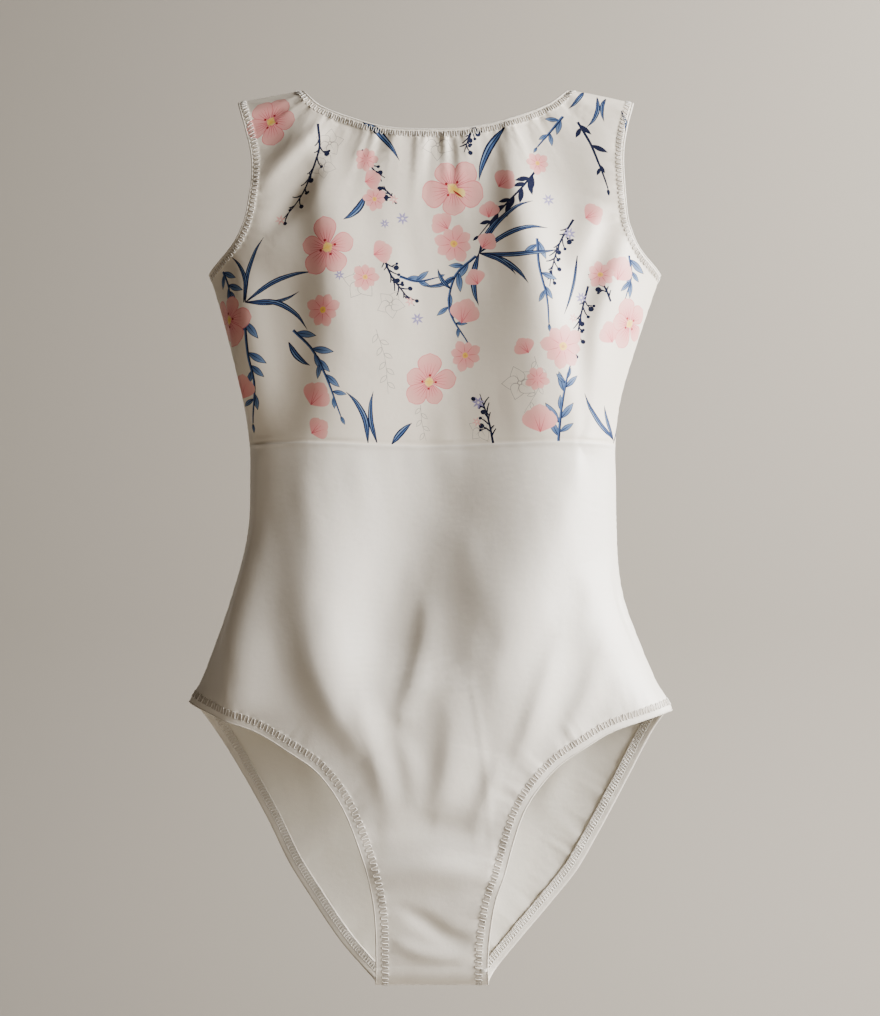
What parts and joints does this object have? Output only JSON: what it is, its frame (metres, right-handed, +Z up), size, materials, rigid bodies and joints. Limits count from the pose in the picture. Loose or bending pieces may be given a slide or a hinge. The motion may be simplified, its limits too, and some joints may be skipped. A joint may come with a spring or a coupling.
{
  "type": "gymnastics leotard",
  "caption": "Sleeveless high-neck gymnastics leotard with a floral bodice, a plain lower part, a seam under the bust and elasticated hems, hanging empty.",
  "frame": {"origin": "midway between the two shoulders, at the height on which a hanger or the wearer carries them", "axes": "+X to the wearer's left, the front faces -Y, +Z up"},
  "size_m": [0.334, 0.0821, 0.6239],
  "materials": {
    "printed_lycra": "satin stretch knit with a printed floral pattern",
    "plain_lycra": "satin stretch knit, off-white",
    "lining": "thin matte lining knit",
    "elastic": "woven elastic tape",
    "thread": "textured polyester thread"
  },
  "bodies": {
    "root": {"front_bodice": "printed_lycra", "back_bodice": "printed_lycra", "front_lower": "plain_lycra", "back_lower": "plain_lycra", "front_lining": "lining", "gusset_lining": "lining", "neck_elastic": "elastic", "armhole_elastic_left": "elastic", "armhole_elastic_right": "elastic", "leg_elastic_left": "elastic", "leg_elastic_right": "elastic", "shoulder_seam_left": "thread", "side_seam_upper_left": "thread", "side_seam_lower_left": "thread", "shoulder_seam_right": "thread", "side_seam_upper_right": "thread", "side_seam_lower_right": "thread", "waist_seam_front": "thread", "waist_seam_back": "thread", "crotch_seam": "thread"}
  },
  "joints": []
}
